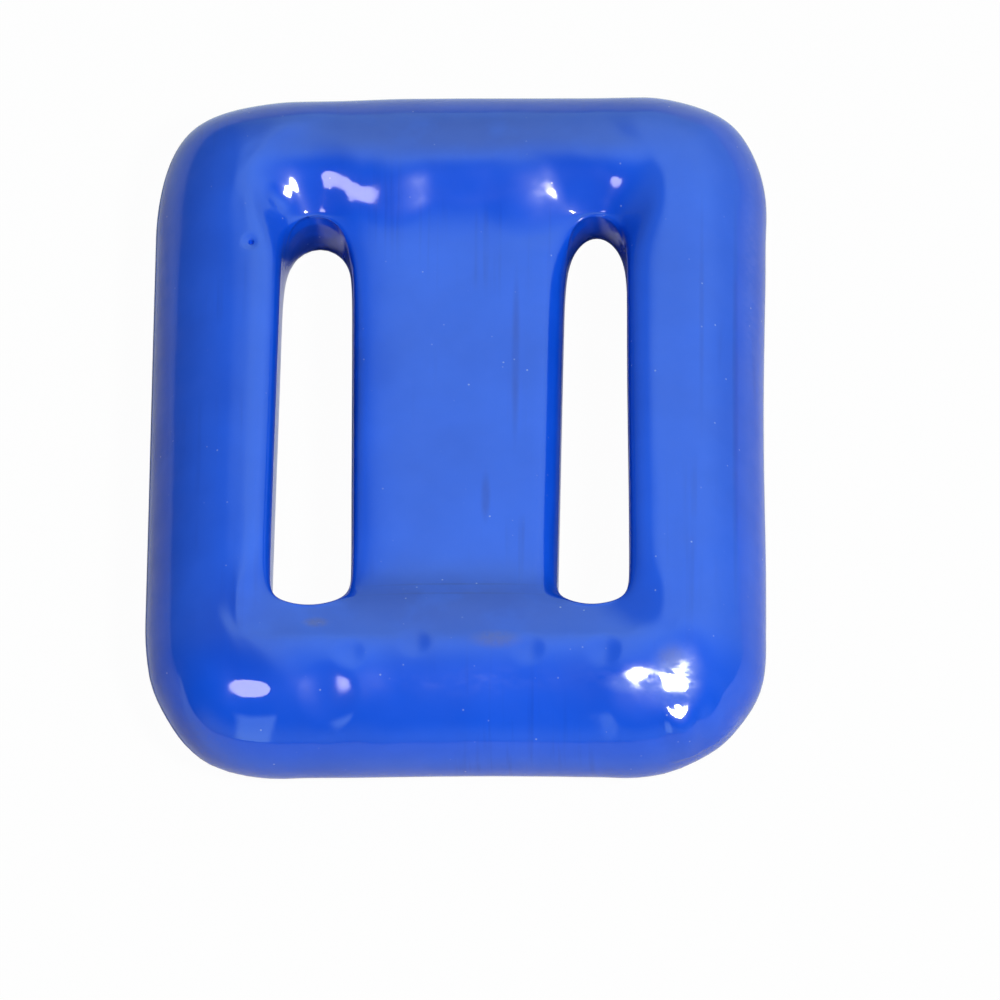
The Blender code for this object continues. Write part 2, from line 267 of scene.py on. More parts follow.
class WeightMarks(bpy.types.PropertyGroup):
    """Waves that dipping has left in the coat."""

    wave_depth: mm("Wave depth", 0.16, "From their lowest to their highest places")
    wave_length: mm("Wave length", 13.0, "Across the widest waves")
    wave_stretch: share("Wave stretch", 0.7, "How fine they are along Y, against along X")
    wave_sink: mm("Wave sink", 0.07, "From the highest waves to the even surface")
    side_waves: share("Waves on the sides", 0.2, "How much of the waves is left on steep sides")
    skin_depth: mm("Skin depth", 0.022, "Height of the small swells in the coat")


class WeightFinish(bpy.types.PropertyGroup):
    """The colours and the gloss of the vinyl, and the colours of the lead."""

    deep_blue: colour("Deep blue", (0.003, 0.072, 0.64), "The deepest blue of the even coat")
    light_blue: colour("Light blue", (0.006, 0.090, 0.74), "The lightest blue of the even coat")
    streak_blue: colour("Streak blue", (0.002, 0.045, 0.46), "Colour of the streaks along the length")
    dust_colour: colour("Dust colour", (0.35, 0.45, 0.75), "Colour of the specks of dust")
    dark_lead: colour("Dark lead", (0.19, 0.20, 0.22), "The darkest grey of the casting")
    light_lead: colour("Light lead", (0.40, 0.41, 0.43), "The lightest grey of the casting")
    gloss_low: share("Least roughness", 0.04, "Roughness of the glossiest places")
    gloss_high: share("Most roughness", 0.12, "Roughness of the dullest places")
    film: share("Film", 0.3, "Strength of the faint dull film")
    streaks: share("Streaks", 0.4, "Strength of the streaks along the length")
    dust: share("Dust", 0.35, "Share of places that have a speck of dust")
    film_roughness: share("Film roughness", 0.35, "Roughness of the faint dull film")


# Sides of the cast block that bulge or sag: name, X, Y, reach, push along X and push along Y, in mm
SIDE_PUSHES = (
    ("top edge, left", -27, 51, 21, 0, -0.6),
    ("top edge, right corner", 36, 46, 12, -0.4, -0.7),
    ("right side, top", 43, 38, 9, 0.22, 0),
    ("right side, middle", 43, 2, 26, -0.3, 0),
    ("right side, bottom", 42.5, -39, 8, 0.4, 0),
    ("bottom right corner", 36, -46, 10, -0.5, 0.6),
    ("bottom edge, right", 27, -52, 8, 0, -0.2),
    ("bottom edge, middle", 4, -53, 22, 0, 0.25),
    ("bottom edge, left", -29, -51, 9, 0, -0.35),
    ("bottom left corner", -38.5, -45, 8, 0.6, 0.3),
)

# Dimples and dents in the front of the coat, and swells, whose depth is negative: name, X, Y, reach and
# depth, in mm
DIMPLES = (
    ("hollow over the left slot", -22.2, 34.8, 9.1, 0.75),
    ("recess corner, left", -25.0, 32.5, 2.1, 0.29),
    ("swell on the slope, left", -9.0, 33.55, 5.7, -0.47),
    ("hollow over the right slot", 11.5, 32.75, 8.2, 0.83),
    ("swell on the slope, right", 9.1, 32.4, 6.05, -0.81),
    ("recess corner, right", 21.8, 36.6, 4.8, -0.22),
    ("bottom bar, left", -13.9, -40.9, 2.7, 0.26),
    ("bottom bar, middle left", -5.2, -39.2, 2.7, 0.26),
    ("bottom bar, middle", 10.2, -40.3, 2.8, 0.28),
    ("bottom bar, right", 20.4, -40.5, 2.8, 0.28),
    ("flat place, bottom left", -29.3, -44.4, 7.6, 0.29),
    ("dent, bottom left", -16.7, -46.0, 4.5, 0.42),
    ("swell, bottom left", -14.1, -45.0, 6.9, -0.4),
    ("dent, bottom right", 25.07, -46.0, 4.38, 0.377),
    ("scuffed corner", 29.26, -42.17, 6.94, 0.664),
    ("dent in that corner", 28.51, -48.0, 4.91, 0.084),
    ("pit in that corner", 30.51, -47.39, 1.94, 0.262),
    ("swell beside it", 34.19, -48.02, 6.43, -0.47),
    ("swell under it", 30.97, -49.12, 3.17, -0.728),
    ("pinhole's dish", -28.5, 23.8, 1.6, 0.25),
)

# Stains, painted shade, a painted highlight and scuffs: name, middle and reach in mm, and strength
DARKER_COAT_AND_PAINTED_SHADE = (
    # Painted shade: the bar's crest at +Y, the recess end at -Y and the bars at -Y and -X, darkened where
    # they face away from the lamps
    ("crest of the bar at +Y", (0, 42, 22), (38, 7.5, 7), 0.95),
    ("recess end at -Y", (0, -33.5, 19), (30, 11.5, 6), 0.95),
    ("bar at -Y, left", (-28, -36, 21), (12, 12, 7), 0.6),
    ("bar at -X, outer side", (-42, -6, 12), (9, 48, 16), 0.5),
    # Darker streaks and lines on the bridge and on the bar at +X
    ("bridge, long streak", (8.0, 8, 17), (0.8, 17, 3), 0.8),
    ("bridge, short streak", (4.1, -14, 17), (0.9, 5, 3), 0.8),
    ("line on the bar at +X", (38.2, 0, 19), (0.6, 39, 6), 0.6),
    ("line inside it", (33.6, 12, 22), (0.5, 24, 4), 0.4),
)
# Painted shade: dark spots in the slots' ends and along their walls, and two dark lines at the concave foot
# of the bridge's slope, where little light reaches
PAINTED_SHADE = (
    ("left slot, end at +Y", (-19.7, 30, 8), (8, 7, 10), 0.7),
    ("right slot, end at +Y", (19, 30, 8), (8, 7, 10), 0.8),
    ("left slot, bridge side", (-14.8, 0, 12), (3.0, 34, 9), 0.9),
    ("right slot, bar side", (23.4, 0, 9), (1.6, 34, 8), 0.7),
    ("bridge's foot, inner line", (0, -28.6, 17), (15, 0.35, 3), 0.45),
    ("bridge's foot, outer line", (0, -30.5, 17.5), (17, 0.35, 3), 0.5),
)
RUBBED_ON = (
    ("bar at -Y, middle", (5.8, -38.8, 22), (4.5, 2.0, 4), 0.55),
    ("bar at -Y, smudge", (-18.6, -35.6, 21), (2.4, 1.3, 3), 0.7),
    ("scuffed corner", (29.5, -41.5, 20), (2.6, 2.6, 4), 0.5),
    ("bottom left corner", (-36, -49, 10), (12, 5, 9), 0.3),
)
# Partly pale scuffs and partly a painted highlight: a pale patch laid round the lamp's glint at the scuffed
# corner
PALE_SCUFFS_AND_PAINTED_HIGHLIGHT = (
    ("scuffed corner", (30.3, -43.8, 20), (4.6, 6.0, 6), 0.3),
    ("bar at -Y, right", (25.0, -45.0, 20), (6.0, 1.6, 6), 0.2),
)
SCUFFS = (
    ("bottom right corner", (30.5, -44.0, 19), (5.0, 6.5, 5), 0.5),
    ("bottom bar, right", (23.0, -43.6, 20), (9.0, 2.6, 4), 0.5),
    ("bottom bar, middle", (3.0, -44.5, 20), (18.0, 2.6, 4), 0.35),
    ("bottom bar, smudge", (-18.6, -35.6, 21), (3.4, 2.0, 3), 0.7),
    ("bar at +X", (40.5, 20, 17), (2.0, 22, 6), 0.4),
)
# Kinds of stain, painted shade and painted highlight: where they are, their colour, and the fineness of
# their cloudy edges in waves per metre
STAINS_AND_PAINTED_LIGHT = (
    (DARKER_COAT_AND_PAINTED_SHADE, (0.0015, 0.045, 0.48), 150.0),
    (PAINTED_SHADE, (0.001, 0.018, 0.2), 300.0),
    (RUBBED_ON, (0.075, 0.08, 0.32), 1300.0),
    (PALE_SCUFFS_AND_PAINTED_HIGHLIGHT, (0.3, 0.42, 0.85), 700.0),
)

# Name, X, Y, reach and depth, in mm
PINHOLE = ("pinhole", -28.5, 23.8, 0.45, 0.7)


class Skin:
    """The sizes of one quarter of a surface of the block, at a given depth under the coat's outside.

    The quarter is named by the signs of its X and Y.
    """

    def __init__(self, scene, depth, side, end):
        block = scene.weight_block
        bridge = scene.weight_bridge
        bars = scene.weight_bars
        slots = scene.weight_slots
        vertical = "top" if end > 0 else "bottom"
        horizontal = "left" if side < 0 else "right"
        slot_width = getattr(slots, horizontal + "_width")
        corner = getattr(block, f"{vertical}_{horizontal}_corner")
        end_back = getattr(slots, horizontal + "_end_back")
        sharpest = block.sharpest_edge
        self.half_width = block.width / 2 - depth
        self.half_length = block.length / 2 - depth
        self.corner = corner - depth
        self.back_z = depth
        self.front_z = block.thickness - depth
        self.front_edge = block.front_edge - depth
        self.back_edge = block.back_edge - depth
        self.end_front_edge = (block.top_front_edge if end > 0 else block.front_edge) - depth

        bridge_side = getattr(bridge, horizontal + "_side")
        self.bridge_wall = bridge_side - depth
        self.bridge_flat = bridge_side - getattr(bridge, horizontal + "_margin")
        self.bar_wall = bridge_side + slot_width + depth
        self.slot_middle = bridge_side + slot_width / 2
        self.slot_length = slots.length
        self.slot_spread = slots.spread
        self.slot_end = slots.length / 2 + depth
        round_end = slots.top_roundness * slot_width / 2 if end > 0 else slots.bottom_corner
        arch = slots.top_arch if end > 0 else slots.bottom_corner
        self.slot_corner = round_end + depth
        self.slot_arch = arch + depth
        self.slot_side = slots.length / 2 - arch
        self.rim = max(getattr(bridge, horizontal + "_rim") - depth, sharpest)
        self.end_rim = max(slots.end_rim - depth, sharpest)
        self.ledge = slots.ledge
        self.ledge_drop = slots.ledge_drop
        self.end_reach = 0 if end > 0 else slots.bottom_reach
        self.slot_back = max(slots.back - depth, sharpest)
        self.slot_end_back = max(end_back - depth, sharpest)
        self.shoulder = max(bars.shoulder - depth, sharpest)

        self.floor_z = self.front_z - bridge.depth
        self.slot_end_z = self.floor_z + getattr(slots, vertical + "_rise")
        self.bar_end_rise = getattr(slots, vertical + "_bar_rise")
        self.recess_flare = bridge.flare
        foot = getattr(bridge, vertical + "_foot")
        crest = getattr(bridge, vertical + "_crest")
        slope_shift = depth * math.tan(math.atan2(bridge.depth, crest - foot) / 2)
        self.foot = foot + slope_shift
        self.knee = getattr(bridge, vertical + "_knee") + slope_shift
        self.knee_z = self.floor_z + getattr(bridge, vertical + "_knee_rise")
        self.recess_end = crest + slope_shift
        self.bridge_fall = getattr(bridge, horizontal + "_fall")
        self.ridge = getattr(bars, vertical + "_ridge") - depth
        # Heights of the front face over the recess's end, where the outer edge starts, and at the outline
        side_fall = bars.left_fall if side < 0 else 0
        if end > 0:
            self.end_z = [self.front_z, self.front_z - bars.top_fall_middle, self.front_z - bars.top_fall]
        else:
            self.end_z = [self.front_z - bars.bottom_rise, self.front_z, self.front_z - bars.bottom_fall]
        self.side_z = [self.front_z, self.front_z - side_fall / 3, self.front_z - side_fall]

        # The cage stands out by as much as smoothing draws in
        self.outline_push = DRAW_IN_SHARE * ROUND_SHARE * (self.front_edge + self.back_edge)

    def edge_radius(self, level, at_end=False):
        if level < UPPER:
            return self.back_edge
        return self.end_front_edge if at_end else self.front_edge

    def column_x(self, level, column):
        """Distance of a cage line from the middle of the width."""
        on_front = level >= UPPER
        return {
            CREST: self.half_width - self.edge_radius(level),
            SHOULDER: self.bar_wall + (ROUND_SHARE * self.shoulder if on_front else self.slot_back),
            BAR_WALL: self.bar_wall,
            SLOT_MIDDLE: self.slot_middle,
            BRIDGE_WALL: self.bridge_wall,
            BRIDGE_FLAT: self.bridge_flat if on_front else self.bridge_wall - self.slot_back,
            CENTRE_COLUMN: 0,
        }[column]

    def row_y(self, level, row):
        """Distance of a cage line from the middle of the length."""
        crest = self.ridge if level >= UPPER else self.half_length - self.edge_radius(level)
        back_rim = min(self.slot_end + self.slot_end_back, crest - LEAST_BACK_STRIP)
        return {
            CREST: crest,
            SHOULDER: self.recess_end if level >= UPPER else back_rim,
            SLOT_END: self.slot_end,
            SLOT_SIDE: self.slot_side,
            RUN: self.slot_side * 2 / 3,
            CENTRE_ROW: 0,
        }[row]


def outline_point(skin, level, column, row):
    """Where the cage meets the outline: evenly spaced along straight sides, and round at the corners."""
    inward = -skin.outline_push
    if level in (BACK, FRONT):
        inward = ROUND_SHARE * skin.edge_radius(level, row == EDGE and column != EDGE)
    straight_x = skin.half_width - skin.corner
    straight_y = skin.half_length - skin.corner
    reach = CORNER_REACH * (skin.corner - inward)
    if column == EDGE and row == EDGE:
        return straight_x + reach, straight_y + reach
    if column == EDGE:
        return skin.half_width - inward, straight_y * (CENTRE_ROW - row) / (CENTRE_ROW - CREST)
    return straight_x * (CENTRE_COLUMN - column) / (CENTRE_COLUMN - CREST), skin.half_length - inward


def slot_point(skin, level, column, row):
    """Where the cage meets a slot: its walls, and the rims that stand back from them."""
    across = along = 0
    if level == BACK:
        across = ROUND_SHARE * skin.slot_back
        along = ROUND_SHARE * skin.slot_end_back
    elif level >= RIM:
        across = ROUND_SHARE * skin.rim * (1 if level == FRONT else 0.5)
        along = ROUND_SHARE * skin.end_rim + (skin.ledge if level == FRONT else 0)
    if row == SLOT_END and level >= RIM:
        across = along
    if level >= UPPER:
        along += skin.end_reach
    if column == SLOT_MIDDLE:
        drawn_in = (1 - CORNER_REACH) * skin.slot_arch
        return skin.slot_middle, skin.slot_end + along + drawn_in / 2
    outward = 1 if column == BAR_WALL else -1
    wall = skin.column_x(level, column)
    if row == SLOT_END:
        x = wall + outward * (CORNER_REACH * (skin.slot_corner + across) - skin.slot_corner)
        y = skin.slot_end - skin.slot_arch + CORNER_REACH * (skin.slot_arch + along)
        return x, y
    if level >= RIM and column == BAR_WALL:
        across = 0
    return wall + outward * across, skin.row_y(level, row)


def face_point(skin, level, column, row):
    """A point inside the front or the back face."""
    if column == CREST and row == CREST:
        reach = CORNER_REACH * (skin.corner - skin.edge_radius(level))
        return skin.half_width - skin.corner + reach, skin.half_length - skin.corner + reach
    x = skin.column_x(level, column)
    y = skin.row_y(level, row)
    if level == FRONT:
        if column == SHOULDER and row in (SHOULDER, SLOT_END):
            x += skin.recess_flare
        if column >= BRIDGE_FLAT and row == SLOT_END:
            y = skin.knee
        if column >= BRIDGE_FLAT and row == SLOT_SIDE:
            y = skin.foot
    return x, y


def is_slot_point(column, row):
    return column in (BAR_WALL, SLOT_MIDDLE, BRIDGE_WALL) and row >= SLOT_END


def recess_height(skin, column, row):
    """Height of the front face, the recess and the slots' front rims."""
    if column <= SHOULDER and row <= SHOULDER:
        return (skin.end_z[SHOULDER - row] + skin.side_z[SHOULDER - column]) / 2
    if row <= SHOULDER:
        return skin.end_z[SHOULDER - row]
    if column <= SHOULDER:
        return skin.side_z[SHOULDER - column]
    if column == BAR_WALL and row > SLOT_END:
        return skin.front_z - ROUND_SHARE * skin.shoulder
    if row == SLOT_END and column > BRIDGE_WALL:
        return skin.knee_z
    if row == SLOT_END:
        return skin.slot_end_z - skin.ledge_drop + (skin.bar_end_rise if column == BAR_WALL else 0)
    return skin.floor_z - (skin.bridge_fall if column == BRIDGE_WALL else 0)


def rim_height(skin, column, row):
    """Height of the slots' front rims: round the ends, on the bars' walls and on the bridge's edges."""
    if row == SLOT_END:
        return skin.slot_end_z + (skin.bar_end_rise if column == BAR_WALL else 0)
    return skin.floor_z if column == BAR_WALL else skin.floor_z - ROUND_SHARE * skin.rim / 2


def cage_height(skin, level, column, row):
    """Height of a cage point above the ground."""
    on_slot = is_slot_point(column, row)
    if level == BACK:
        return skin.back_z
    if level == LOWER:
        if not on_slot:
            return skin.back_z + ROUND_SHARE * skin.back_edge
        if row != SLOT_END:
            rounding = skin.slot_back
        elif column == SLOT_MIDDLE:
            rounding = skin.slot_end_back
        else:
            rounding = (skin.slot_back + skin.slot_end_back) / 2
        return skin.back_z + ROUND_SHARE * rounding
    if level == FRONT:
        return recess_height(skin, column, row)
    if level == RIM:
        return rim_height(skin, column, row)
    if not on_slot:
        return skin.front_z - ROUND_SHARE * skin.edge_radius(level, row == EDGE and column != EDGE)
    if row == SLOT_END:
        return skin.slot_end_z - ROUND_SHARE * skin.end_rim
    return skin.floor_z - ROUND_SHARE * skin.rim


def slot_lean(skin, column, row, y):
    """How far a slot's wall stands out here, because each slot is a little wider at its -Y end."""
    if row == EDGE:
        return 0
    way_down = -max(-skin.slot_end, min(y, skin.slot_end)) / skin.slot_length
    outward = {SHOULDER: 1, BAR_WALL: 1, BRIDGE_WALL: -1, BRIDGE_FLAT: -1}.get(column, 0)
    return outward * way_down * skin.slot_spread / 2


def cage_position(scene, depth, level, across, along):
    """Where a point of the cage stands, from its level and its place counted from the middle lines."""
    skin = Skin(scene, depth, math.copysign(1, across), math.copysign(1, along))
    column = CENTRE_COLUMN - abs(across)
    row = CENTRE_ROW - abs(along)
    if column == EDGE or row == EDGE:
        x, y = outline_point(skin, level, column, row)
    elif is_slot_point(column, row):
        x, y = slot_point(skin, level, column, row)
    else:
        x, y = face_point(skin, level, column, row)
    y = math.copysign(y, along)
    x += slot_lean(skin, column, row, y)
    z = cage_height(skin, level, column, row)
    return Vector((math.copysign(x, across), y, z))


def make_cage(scene, depth):
    """The closed cage of one surface: a grid with two slots cut from it, extruded from back to front."""
    cage = bmesh.new()
    across = cage.verts.layers.int.new("across")
    along = cage.verts.layers.int.new("along")
    level = cage.verts.layers.int.new("level")
    columns = 2 * CENTRE_COLUMN
    rows = 2 * CENTRE_ROW
    bmesh.ops.create_grid(cage, x_segments=columns, y_segments=rows, size=0.5)
    for vert in cage.verts:
        vert[across] = round(vert.co.x * columns)
        vert[along] = round(vert.co.y * rows)

    def on_slot(vert):
        return is_slot_point(CENTRE_COLUMN - abs(vert[across]), CENTRE_ROW - abs(vert[along]))

    in_slots = [face for face in cage.faces if all(on_slot(vert) for vert in face.verts)]
    bmesh.ops.delete(cage, geom=in_slots, context="FACES")
    top = cage.verts[:] + cage.edges[:] + cage.faces[:]
    for grown_level in (LOWER, UPPER, RIM, FRONT):
        top = bmesh.ops.extrude_face_region(cage, geom=top)["geom"]
        for vert in (item for item in top if isinstance(item, bmesh.types.BMVert)):
            vert[level] = grown_level

    def on_outline(vert):
        return vert[level] == RIM and not on_slot(vert)

    outline = [edge for edge in cage.edges if on_outline(edge.verts[0]) and on_outline(edge.verts[1])]
    bmesh.ops.dissolve_edges(cage, edges=outline, use_verts=True)
    for vert in cage.verts:
        vert.co = cage_position(scene, depth, vert[level], vert[across], vert[along])
    bmesh.ops.recalc_face_normals(cage, faces=cage.faces)

    def on_end_line(vert, on_level, last_row):
        return vert[level] == on_level and CENTRE_ROW - abs(vert[along]) <= last_row and on_slot(vert)

    slots = scene.weight_slots
    crease = cage.edges.layers.float.new("crease_edge")
    crisp_lines = ((UPPER, SLOT_SIDE, slots.rim_crease), (FRONT, SLOT_END, slots.ledge_crease))
    for on_level, last_row, crispness in crisp_lines:
        for edge in cage.edges:
            if all(on_end_line(vert, on_level, last_row) for vert in edge.verts):
                edge[crease] = crispness
    return cage


def points_near(bm, x, y, reach):
    """The points round a place, each with a share that falls softly from 1 at its middle to 0."""
    middle = Vector((x, y)) * MM
    for vert in bm.verts:
        distance = (vert.co.xy - middle).length / (reach * MM)
        if distance < 1:
            yield vert, (1 - distance**2) ** 2


def push_sides(bm):
    """Lets the sides of a surface bulge and sag a little, as on the cast block, and blunts its corners."""
    for _, x, y, reach, push_x, push_y in SIDE_PUSHES:
        push = Vector((push_x, push_y, 0)) * MM
        for vert, nearness in points_near(bm, x, y, reach):
            vert.co += push * nearness


def thin_back(bm, mesh_heights):
    """Thins the mesh of the back, which has no marks: once below each height that is given."""
    for top in mesh_heights:
        bmesh.ops.unsubdivide(bm, verts=[vert for vert in bm.verts if vert.co.z < top], iterations=2)


def press(bm, dimples):
    """Presses dimples into the front of the coat."""
    bm.normal_update()
    for _, x, y, reach, depth in dimples:
        for vert, nearness in points_near(bm, x, y, reach):
            if vert.normal.z > 0:
                vert.co -= vert.normal * depth * MM * nearness


def divide_round(bm, dimple):
    """Makes the front face's mesh finer round a small dimple, before it is pressed in."""
    _, x, y, reach, _ = dimple

    def is_near(face):
        distance = (face.calc_center_median().xy - Vector((x, y)) * MM).length
        return face.normal.z > 0 and distance < FINE_MESH_REACH * reach * MM

    edges = [edge for edge in bm.edges if any(is_near(face) for face in edge.link_faces)]
    bmesh.ops.subdivide_edges(bm, edges=edges, cuts=FINE_MESH_CUTS, use_grid_fill=True)


def ripple(bm, marks):
    """Lets the surface run in soft waves, which lie under the even surface and fade on steep sides."""
    bm.normal_update()
    offsets = []
    for vert in bm.verts:
        where = Vector((vert.co.x, vert.co.y * marks.wave_stretch, vert.co.z)) / marks.wave_length
        flatness = min(max((abs(vert.normal.z) - STEEP) / (FLAT - STEEP), 0.0), 1.0)
        swell = noise.noise(where) + FINE_WAVE_HEIGHT * noise.noise(where * FINE_WAVES)
        swell *= marks.side_waves + (1 - marks.side_waves) * flatness
        lift = marks.wave_depth * (min(swell, 1.0) - 1) / 2 - marks.wave_sink
        offsets.append(vert.normal * lift)
    for vert, offset in zip(bm.verts, offsets):
        vert.co += offset


def new_object(name, bm):
    mesh = bpy.data.meshes.new(name)
    bm.to_mesh(mesh)
    bm.free()
    mesh.shade_smooth()
    made = bpy.data.objects.new(name, mesh)
    bpy.context.scene.collection.objects.link(made)
    return made


def grow_surface(scene, depth, levels):
    """One closed surface of the block, smoothed from its cage, as a bmesh."""
    cage = new_object("cage", make_cage(scene, depth))
    rounding = cage.modifiers.new("Rounding", "SUBSURF")
    rounding.levels = rounding.render_levels = levels
    bm = bmesh.new()
    bm.from_object(cage, bpy.context.evaluated_depsgraph_get())
    bpy.data.meshes.remove(cage.data, do_unlink=True)
    push_sides(bm)
    return bm


def join_into(bm, other):
    mesh = bpy.data.meshes.new("part")
    other.to_mesh(mesh)
    other.free()
    bm.from_mesh(mesh)
    bpy.data.meshes.remove(mesh)


def finish_piece(piece, node, material):
    piece.data.materials.clear()
    piece.data.materials.append(material)
    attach(piece, "root")
    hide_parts(node)


class NodeTree:
    """Short names for the steps of making a node tree."""

    def __init__(self, tree):
        self.nodes = tree.nodes
        self.links = tree.links

    def feed(self, node, inputs):
        """Sets inputs, given by their names or places, each to a value or to the socket that feeds it."""
        for key, value in inputs.items():
            if isinstance(value, bpy.types.NodeSocket):
                self.links.new(value, node.inputs[key])
            else:
                node.inputs[key].default_value = value

    def add(self, kind, inputs=None, **settings):
        node = self.nodes.new("ShaderNode" + kind)
        for name, value in settings.items():
            setattr(node, name, value)
        self.feed(node, inputs or {})
        return node

    def math(self, operation, *values):
        return self.add("Math", dict(enumerate(values)), operation=operation).outputs[0]

    def times(self, first, second):
        return self.math("MULTIPLY", first, second)

    def vector_math(self, operation, *values):
        return self.add("VectorMath", dict(enumerate(values)), operation=operation).outputs

    def ramp(self, value, low, high, at_low=0.0, at_high=1.0):
        """Goes smoothly from one number to another while the value goes from low to high."""
        inputs = {"Value": value, "From Min": low, "From Max": high, "To Min": at_low, "To Max": at_high}
        return self.add("MapRange", inputs, interpolation_type="SMOOTHSTEP").outputs[0]

    def noise(self, place, scale, detail):
        return self.add("TexNoise", {"Vector": place, "Scale": scale, "Detail": detail}).outputs["Fac"]

    def mix(self, amount, below, above):
        """Lays a colour over another. The node's places 6, 7 and 2 are those for colours."""
        inputs = {"Factor": amount, 6: below, 7: (*above, 1.0)}
        return self.add("Mix", inputs, data_type="RGBA").outputs[2]

    def colours(self, value, *stops):
        """A colour that goes from one to another, each given with the value that it stands at."""
        ramp = self.add("ValToRGB", {0: value})
        for element, (position, shade) in zip(ramp.color_ramp.elements, stops):
            element.position = position
            element.color = (*shade, 1.0)
        return ramp.outputs["Color"]

    def spots(self, place, spots):
        """How much a place lies in soft oval spots, which are given by their middles and reaches in mm."""
        total = None
        for _, middle, reach, amount in spots:
            offset = self.vector_math("SUBTRACT", place, Vector(middle) * MM)[0]
            offset = self.vector_math("DIVIDE", offset, Vector(reach) * MM)[0]
            distance = self.vector_math("LENGTH", offset)["Value"]
            spot = self.ramp(distance, 0.2, 1.0, amount, 0.0)
            total = spot if total is None else self.math("MAXIMUM", total, spot)
        return total

    def bump(self, height, distance, shader):
        bump = self.add("Bump", {"Strength": 1.0, "Distance": distance, "Height": height})
        self.feed(shader, {"Normal": bump.outputs[0]})


def new_material(name):
    """A new material, its node tree and its shader."""
    made = bpy.data.materials.new(name)
    made.use_nodes = True
    return made, NodeTree(made.node_tree), made.node_tree.nodes["Principled BSDF"]


def lead_material(finish):
    """Dull grey lead with cloudy oxide, small casting pits and a grainy skin."""
    made, tree, shader = new_material("cast lead")
    place = tree.add("TexCoord").outputs["Object"]
    oxide = tree.noise(place, OXIDE, 4.0)
    grey = tree.colours(oxide, (0.35, finish.dark_lead), (0.65, finish.light_lead))
    roughness = tree.ramp(oxide, 0.3, 0.7, 0.45, 0.65)
    tree.feed(shader, {"Base Color": grey, "Roughness": roughness, "Metallic": LEAD_METALLIC})
    pits = tree.add("TexVoronoi", {"Vector": place, "Scale": PITS, "Randomness": 1.0}).outputs["Distance"]
    grain = tree.times(tree.noise(place, LEAD_GRAIN, 2.0), 0.3)
    relief = tree.math("MULTIPLY_ADD", tree.ramp(pits, 0.0, 0.3), 0.7, grain)
    tree.bump(relief, PIT_DEPTH, shader)
    return made


def vinyl_material(scene):
    """Glossy blue vinyl with streaks, stain spots, painted shade and a painted highlight, scuffs and specks
    of dust, and a faintly uneven surface.
    """
    finish = scene.weight_finish
    made, tree, shader = new_material("blue vinyl")
    place = tree.add("TexCoord").outputs["Object"]

    # Thicker and thinner coat, what has rubbed off on it, and painted shade and a painted highlight
    clouds = tree.noise(place, BLUE_CLOUDS, 3.0)
    tint = tree.colours(clouds, (0.3, finish.deep_blue), (0.7, finish.light_blue))
    for stain_and_light_spots, stain_or_light_colour, fineness in STAINS_AND_PAINTED_LIGHT:
        amount = tree.spots(place, stain_and_light_spots)
        uneven = tree.noise(place, fineness, 6.0)
        amount = tree.times(amount, tree.ramp(uneven, 0.25, 0.55, 0.5, 1.0))
        tint = tree.mix(amount, tint, stain_or_light_colour)

    # Streaks that run along the length, on the bridge and on the bars
    stretched = tree.add("Mapping", {"Vector": place, "Scale": STREAKS}).outputs[0]
    patches = tree.ramp(tree.noise(place, STREAK_PATCHES, 2.0), 0.5, 0.7, 0.0, finish.streaks)
    streak = tree.times(tree.ramp(tree.noise(stretched, 1.0, 3.0), 0.5, 0.75), patches)
    tint = tree.mix(streak, tint, finish.streak_blue)

    # Specks of dust, thinly strewn
    cells = tree.add("TexVoronoi", {"Vector": place, "Scale": DUST_CELLS, "Randomness": 1.0}).outputs
    chance = tree.add("SeparateXYZ", {0: cells["Color"]}).outputs["X"]
    chosen = tree.ramp(chance, 1 - finish.dust, 1.0)
    speck = tree.times(tree.ramp(cells["Distance"], 0.03, 0.12, 0.6, 0.0), chosen)
    tint = tree.mix(speck, tint, finish.dust_colour)

    # Scuffs, and the gloss of the coat between them
    scuff = tree.spots(place, SCUFFS)
    turned = tree.add("Mapping", {"Vector": place, "Rotation": SCRATCH_TURN, "Scale": SCRATCHES}).outputs[0]
    scuff = tree.times(scuff, tree.ramp(tree.noise(turned, 1.0, 6.0), 0.4, 0.65))
    film = tree.noise(place, FILM_CLOUDS, 5.0)
    gloss = tree.ramp(film, 0.35, 0.75, finish.gloss_low, finish.gloss_high)
    roughness = tree.math("MULTIPLY_ADD", scuff, 0.3, gloss)
    tree.feed(shader, {"Base Color": tint, "Roughness": roughness, "IOR": VINYL_IOR})

    # A faint dull film over the gloss widens the lamps' glints into bands, most of all over scuffs
    haze = tree.ramp(film, 0.3, 0.7, 0.5 * finish.film, finish.film)
    haze = tree.math("MULTIPLY_ADD", scuff, 0.4, haze)
    tree.feed(shader, {"Coat Weight": haze, "Coat Roughness": finish.film_roughness})

    # An uneven skin: soft swells, a finer grain, scuffs and dust that stands up
    grain = tree.times(tree.noise(place, SKIN_GRAIN, 3.0), 0.08)
    relief = tree.math("ADD", tree.noise(place, SKIN_SWELLS, 2.0), grain)
    relief = tree.math("MULTIPLY_ADD", speck, 0.5, relief)
    relief = tree.math("MULTIPLY_ADD", scuff, 0.35, relief)
    tree.bump(relief, scene.weight_marks.skin_depth, shader)
    return made


class WEIGHT_OT_casting(bpy.types.Operator):
    """Build the cast lead block that lies inside the coat"""

    bl_idname = "diving_weight.casting"
    bl_label = "Lead casting"

    def execute(self, context):
        block = context.scene.weight_block
        bm = grow_surface(context.scene, block.coat + block.clearance, CASTING_SMOOTHINGS)
        casting = new_object("cast_lead_block", bm)
        finish_piece(casting, "lead_core", lead_material(context.scene.weight_finish))
        return {"FINISHED"}


